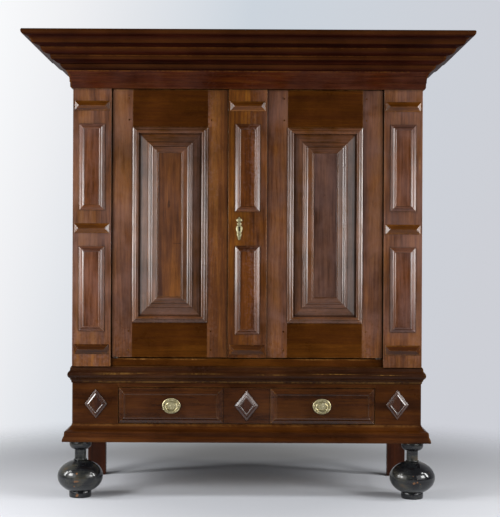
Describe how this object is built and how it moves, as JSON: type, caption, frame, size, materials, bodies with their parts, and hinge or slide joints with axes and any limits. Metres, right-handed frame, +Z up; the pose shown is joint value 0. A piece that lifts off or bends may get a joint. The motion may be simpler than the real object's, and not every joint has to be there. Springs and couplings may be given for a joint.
{
  "type": "kas cupboard",
  "caption": "Tall Dutch-American cupboard with a deep overhanging cornice, panelled doors on pivots, raised pilaster panels, a long drawer, turned ball feet in front and board legs behind.",
  "frame": {"origin": "on the floor, under the middle of the whole outline", "axes": "+Z up, the doors and drawer face -Y, +X to the right of someone who faces the doors"},
  "size_m": [1.866, 0.75, 1.958],
  "materials": {
    "gumwood": "polished, varnished gumwood",
    "cornice_gumwood": "darkened, varnished gumwood",
    "inner_pine": "unfinished, aged pine",
    "ebonised_wood": "black paint, satin, worn",
    "brass": "aged, pale brass",
    "iron": "wrought iron, dull"
  },
  "bodies": {
    "case": {"back_boards": "inner_pine", "ball_feet": "ebonised_wood", "base_lozenges": "gumwood", "base_moulding": "gumwood", "base_rails": "gumwood", "base_sides_and_back": "gumwood", "base_stiles": "gumwood", "bed_moulding": "cornice_gumwood", "case_bottom_rail": "gumwood", "case_front_stiles": "gumwood", "case_head_rail": "gumwood", "case_top_and_bottom_boards": "inner_pine", "cornice_back_rail": "inner_pine", "cornice_dust_boards": "inner_pine", "corona_moulding": "cornice_gumwood", "crown_moulding": "cornice_gumwood", "drawer_runners": "inner_pine", "frieze_boards": "cornice_gumwood", "pivot_washers": "iron", "rear_legs": "gumwood", "shelf_cleats": "inner_pine", "shelves": "inner_pine", "side_frames": "gumwood", "side_panels": "gumwood", "side_pilaster_belts": "gumwood", "side_pilaster_boards": "gumwood", "side_pilaster_panels": "gumwood", "waist_moulding": "gumwood"},
    "left_door": {"left_door_field": "gumwood", "left_door_inner_moulding": "gumwood", "left_door_outer_moulding": "gumwood", "left_door_panel": "gumwood", "left_door_pivots": "iron", "left_door_rails": "gumwood", "left_door_stiles": "gumwood", "lock_keeper": "iron", "slide_bolt_plate": "iron"},
    "slide_bolt": {"slide_bolt": "iron"},
    "right_door": {"right_door_field": "gumwood", "right_door_inner_moulding": "gumwood", "right_door_outer_moulding": "gumwood", "right_door_panel": "gumwood", "right_door_pivots": "iron", "right_door_rails": "gumwood", "right_door_stiles": "gumwood", "centre_pilaster_board": "gumwood", "centre_pilaster_panels": "gumwood", "centre_pilaster_belts": "gumwood", "keyhole_escutcheon": "brass", "lock_case": "iron"},
    "lock_bolt": {"lock_bolt": "iron"},
    "drawer": {"drawer_front": "gumwood", "drawer_sides_and_back": "inner_pine", "drawer_bottom": "inner_pine", "drawer_raised_panels": "gumwood", "drawer_lozenge": "gumwood", "pull_plates": "brass"},
    "left_pull": {"left_pull_bail": "brass"},
    "right_pull": {"right_pull_bail": "brass"}
  },
  "joints": [
    {"name": "left_door_hinge", "type": "hinge", "parent": "case", "child": "left_door", "pos_m": [-0.561, -0.165, 0.597], "axis": [0, 0, -1], "range_deg": [0, 105]},
    {"name": "right_door_hinge", "type": "hinge", "parent": "case", "child": "right_door", "pos_m": [0.561, -0.165, 0.597], "axis": [0, 0, 1], "range_deg": [0, 105]},
    {"name": "slide_bolt_lift", "type": "slide", "parent": "left_door", "child": "slide_bolt", "axis": [0, 0, 1], "range_m": [0, 0.015]},
    {"name": "lock_bolt_throw", "type": "slide", "parent": "right_door", "child": "lock_bolt", "axis": [-1, 0, 0], "range_m": [0, 0.014]},
    {"name": "drawer_slide", "type": "slide", "parent": "case", "child": "drawer", "axis": [0, -1, 0], "range_m": [0, 0.38]},
    {"name": "left_pull_hinge", "type": "hinge", "parent": "drawer", "child": "left_pull", "pos_m": [-0.32, -0.194, 0.3945], "axis": [-1, 0, 0], "range_deg": [0, 85]},
    {"name": "right_pull_hinge", "type": "hinge", "parent": "drawer", "child": "right_pull", "pos_m": [0.32, -0.194, 0.3945], "axis": [-1, 0, 0], "range_deg": [0, 85]}
  ]
}
